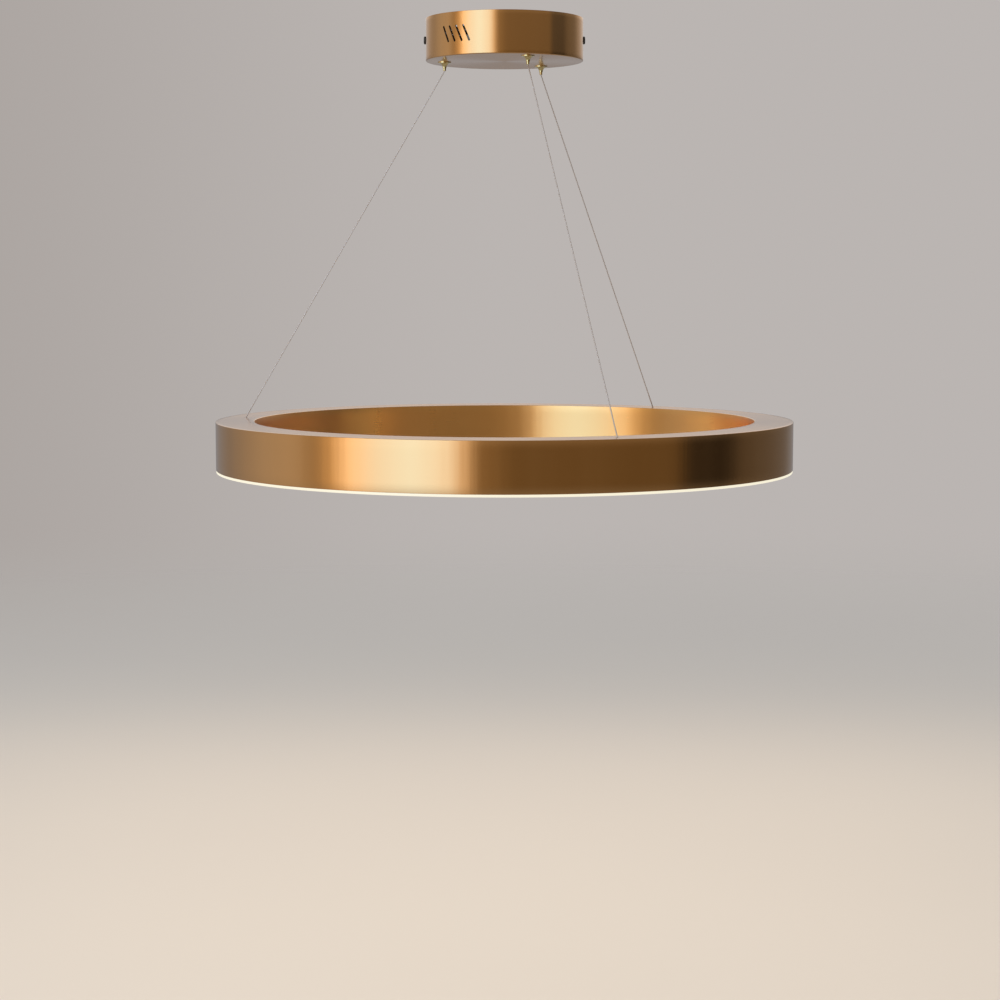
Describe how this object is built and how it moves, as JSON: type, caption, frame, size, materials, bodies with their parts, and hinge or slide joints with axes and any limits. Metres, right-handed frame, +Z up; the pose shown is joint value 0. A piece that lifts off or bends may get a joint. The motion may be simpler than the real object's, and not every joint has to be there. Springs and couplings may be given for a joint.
{
  "type": "ring chandelier",
  "caption": "Round brushed-brass ring light with an opal diffuser below, hung level on taut wires from a drum canopy whose grippers slide and lock.",
  "frame": {"origin": "centre of the mounting bar's top face, which lies on the ceiling, on the lamp's axis", "axes": "+Z up along the lamp's axis into the ceiling; the lamp hangs below; the pictured front looks along -Y; +X to the viewer's right"},
  "size_m": [0.6, 0.6, 0.465],
  "materials": {
    "canopy_metal": "brushed, brass plated",
    "ring_metal": "brushed, anodised brass colour",
    "polished_brass": "polished",
    "plain_brass": "turned",
    "zinc_steel": "zinc plated",
    "dark_screw": "dark bronze plated",
    "bearing_steel": "bright",
    "wire_steel": "clear-coated conductive steel rope",
    "white_plastic": "moulded",
    "nylon": "moulded",
    "black_rubber": "moulded",
    "green_board": "solder resist",
    "tray_aluminium": "mill",
    "strip_white": "white solder resist",
    "led_phosphor": "silicone",
    "opal": "opal, lit warm white",
    "lead_brown": "insulated",
    "lead_blue": "insulated",
    "lead_green": "insulated",
    "lead_red": "insulated",
    "lead_black": "insulated",
    "splice_sleeve": "crimped sleeve"
  },
  "bodies": {
    "canopy": {"bar_earth_screw": "zinc_steel", "cable_grommet": "black_rubber", "canopy_cover": "canopy_metal", "canopy_earth_nut": "zinc_steel", "canopy_earth_stud": "zinc_steel", "canopy_side_screws": "dark_screw", "dc_lead_negative": "lead_black", "dc_lead_positive": "lead_red", "driver_board": "green_board", "driver_case": "white_plastic", "driver_lid": "white_plastic", "driver_nuts": "zinc_steel", "driver_studs": "zinc_steel", "earth_lead_bar": "lead_green", "earth_lead_canopy": "lead_green", "earth_tags": "zinc_steel", "gripper_body_1": "polished_brass", "gripper_body_2": "polished_brass", "gripper_body_3": "polished_brass", "gripper_cap_1": "plain_brass", "gripper_cap_2": "plain_brass", "gripper_cap_3": "plain_brass", "gripper_nuts": "plain_brass", "gripper_spring_1": "bearing_steel", "gripper_spring_2": "bearing_steel", "gripper_spring_3": "bearing_steel", "gripper_washers": "zinc_steel", "mains_lead_live": "lead_brown", "mains_lead_neutral": "lead_blue", "mounting_bar": "zinc_steel", "suspension_wire_1": "wire_steel", "suspension_wire_2": "wire_steel", "suspension_wire_3": "wire_steel", "terminal_block": "white_plastic", "terminal_block_screw": "zinc_steel", "terminal_clamp_screws": "zinc_steel", "wire_splices": "splice_sleeve", "wire_tail_1": "wire_steel", "wire_tail_2": "wire_steel", "wire_tail_3": "wire_steel"},
    "ring": {"ring_channel": "ring_metal", "anchor_bushes": "nylon", "wire_ferrules": "plain_brass", "wire_end_1": "wire_steel", "wire_end_2": "wire_steel", "wire_end_3": "wire_steel", "led_tray": "tray_aluminium", "tray_screws": "zinc_steel", "led_strip": "strip_white", "led_chips": "led_phosphor", "diffuser": "opal", "strip_lead_negative": "lead_black", "strip_lead_positive": "lead_red"},
    "plunger_1": {"gripper_plunger_1": "polished_brass", "gripper_balls_1": "bearing_steel"},
    "plunger_2": {"gripper_plunger_2": "polished_brass", "gripper_balls_2": "bearing_steel"},
    "plunger_3": {"gripper_plunger_3": "polished_brass", "gripper_balls_3": "bearing_steel"}
  },
  "joints": [
    {"name": "ring_height", "type": "slide", "parent": "canopy", "child": "ring", "axis": [0, 0, 1], "range_m": [0, 0.18], "deforming": ["suspension_wire_1", "suspension_wire_2", "suspension_wire_3"]},
    {"name": "gripper_release_1", "type": "slide", "parent": "canopy", "child": "plunger_1", "axis": [0, 0, 1], "range_m": [0, 0.002], "stiffness_N_per_m": 600, "springref_m": -0.003, "deforming": ["gripper_spring_1"]},
    {"name": "gripper_release_2", "type": "slide", "parent": "canopy", "child": "plunger_2", "axis": [0, 0, 1], "range_m": [0, 0.002], "stiffness_N_per_m": 600, "springref_m": -0.003, "deforming": ["gripper_spring_2"]},
    {"name": "gripper_release_3", "type": "slide", "parent": "canopy", "child": "plunger_3", "axis": [0, 0, 1], "range_m": [0, 0.002], "stiffness_N_per_m": 600, "springref_m": -0.003, "deforming": ["gripper_spring_3"]}
  ]
}
